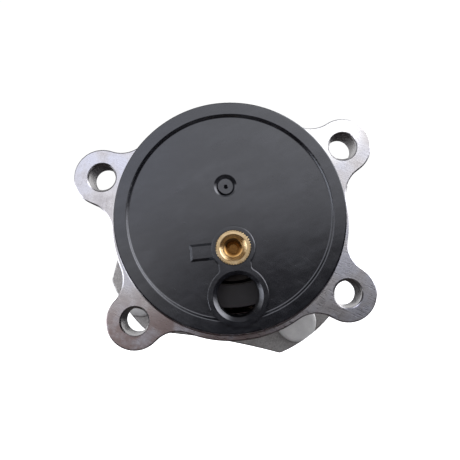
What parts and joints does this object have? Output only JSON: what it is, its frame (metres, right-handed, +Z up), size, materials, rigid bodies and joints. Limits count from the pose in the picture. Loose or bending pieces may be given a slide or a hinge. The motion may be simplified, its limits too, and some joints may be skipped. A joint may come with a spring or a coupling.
{
  "type": "wheel hub bearing unit",
  "caption": "Flanged wheel hub bearing unit with a tapped knuckle flange, a black sensor cap with a brass insert, and a turning wheel flange with press-in studs.",
  "frame": {"origin": "on the spin axis, in the plane of the outer ring's mounting face", "axes": "+Y along the spin axis towards the wheel, +Z up, +X to the right as seen from the capped side"},
  "size_m": [0.1132, 0.1028, 0.1132],
  "materials": {
    "ring_steel": "turned and milled, bright",
    "hub_steel": "forged, with turned faces",
    "stud_steel": "cold formed, phosphated grey",
    "race_steel": "ground",
    "ball_steel": "lapped and polished",
    "pressed_steel": "pressed sheet",
    "brass": "turned and knurled",
    "cap_plastic": "satin moulding",
    "cage_plastic": "glass filled moulding",
    "seal_rubber": "moulded",
    "encoder_rubber": "ferrite filled, smooth"
  },
  "bodies": {
    "housing": {"outer_ring": "ring_steel", "sensor_cap": "cap_plastic", "threaded_insert": "brass", "cap_sleeve": "pressed_steel", "cap_o_ring": "seal_rubber", "outboard_seal_case": "pressed_steel", "outboard_seal_lip": "seal_rubber"},
    "hub": {"hub_spindle": "hub_steel", "inner_ring": "race_steel", "wheel_studs": "stud_steel", "encoder_carrier": "pressed_steel", "encoder_ring": "encoder_rubber", "seal_slinger": "pressed_steel"},
    "inboard_cage_body": {"inboard_cage": "cage_plastic", "inboard_ball_01": "ball_steel", "inboard_ball_02": "ball_steel", "inboard_ball_03": "ball_steel", "inboard_ball_04": "ball_steel", "inboard_ball_05": "ball_steel", "inboard_ball_06": "ball_steel", "inboard_ball_07": "ball_steel", "inboard_ball_08": "ball_steel", "inboard_ball_09": "ball_steel", "inboard_ball_10": "ball_steel", "inboard_ball_11": "ball_steel", "inboard_ball_12": "ball_steel", "inboard_ball_13": "ball_steel"},
    "outboard_cage_body": {"outboard_cage": "cage_plastic", "outboard_ball_01": "ball_steel", "outboard_ball_02": "ball_steel", "outboard_ball_03": "ball_steel", "outboard_ball_04": "ball_steel", "outboard_ball_05": "ball_steel", "outboard_ball_06": "ball_steel", "outboard_ball_07": "ball_steel", "outboard_ball_08": "ball_steel", "outboard_ball_09": "ball_steel", "outboard_ball_10": "ball_steel", "outboard_ball_11": "ball_steel", "outboard_ball_12": "ball_steel", "outboard_ball_13": "ball_steel"}
  },
  "joints": [
    {"name": "hub_spin", "type": "hinge", "parent": "housing", "child": "hub", "pos_m": [0, 0, 0], "axis": [0, 1, 0], "continuous": true},
    {"name": "inboard_cage_spin", "type": "hinge", "parent": "housing", "child": "inboard_cage_body", "pos_m": [0, 0.0095, 0], "axis": [0, 1, 0], "continuous": true},
    {"name": "outboard_cage_spin", "type": "hinge", "parent": "housing", "child": "outboard_cage_body", "pos_m": [0, 0.0335, 0], "axis": [0, 1, 0], "continuous": true}
  ],
  "couplings": [
    {"joint": "inboard_cage_spin", "follows": "hub_spin", "ratio": 0.4204},
    {"joint": "outboard_cage_spin", "follows": "hub_spin", "ratio": 0.4204}
  ]
}
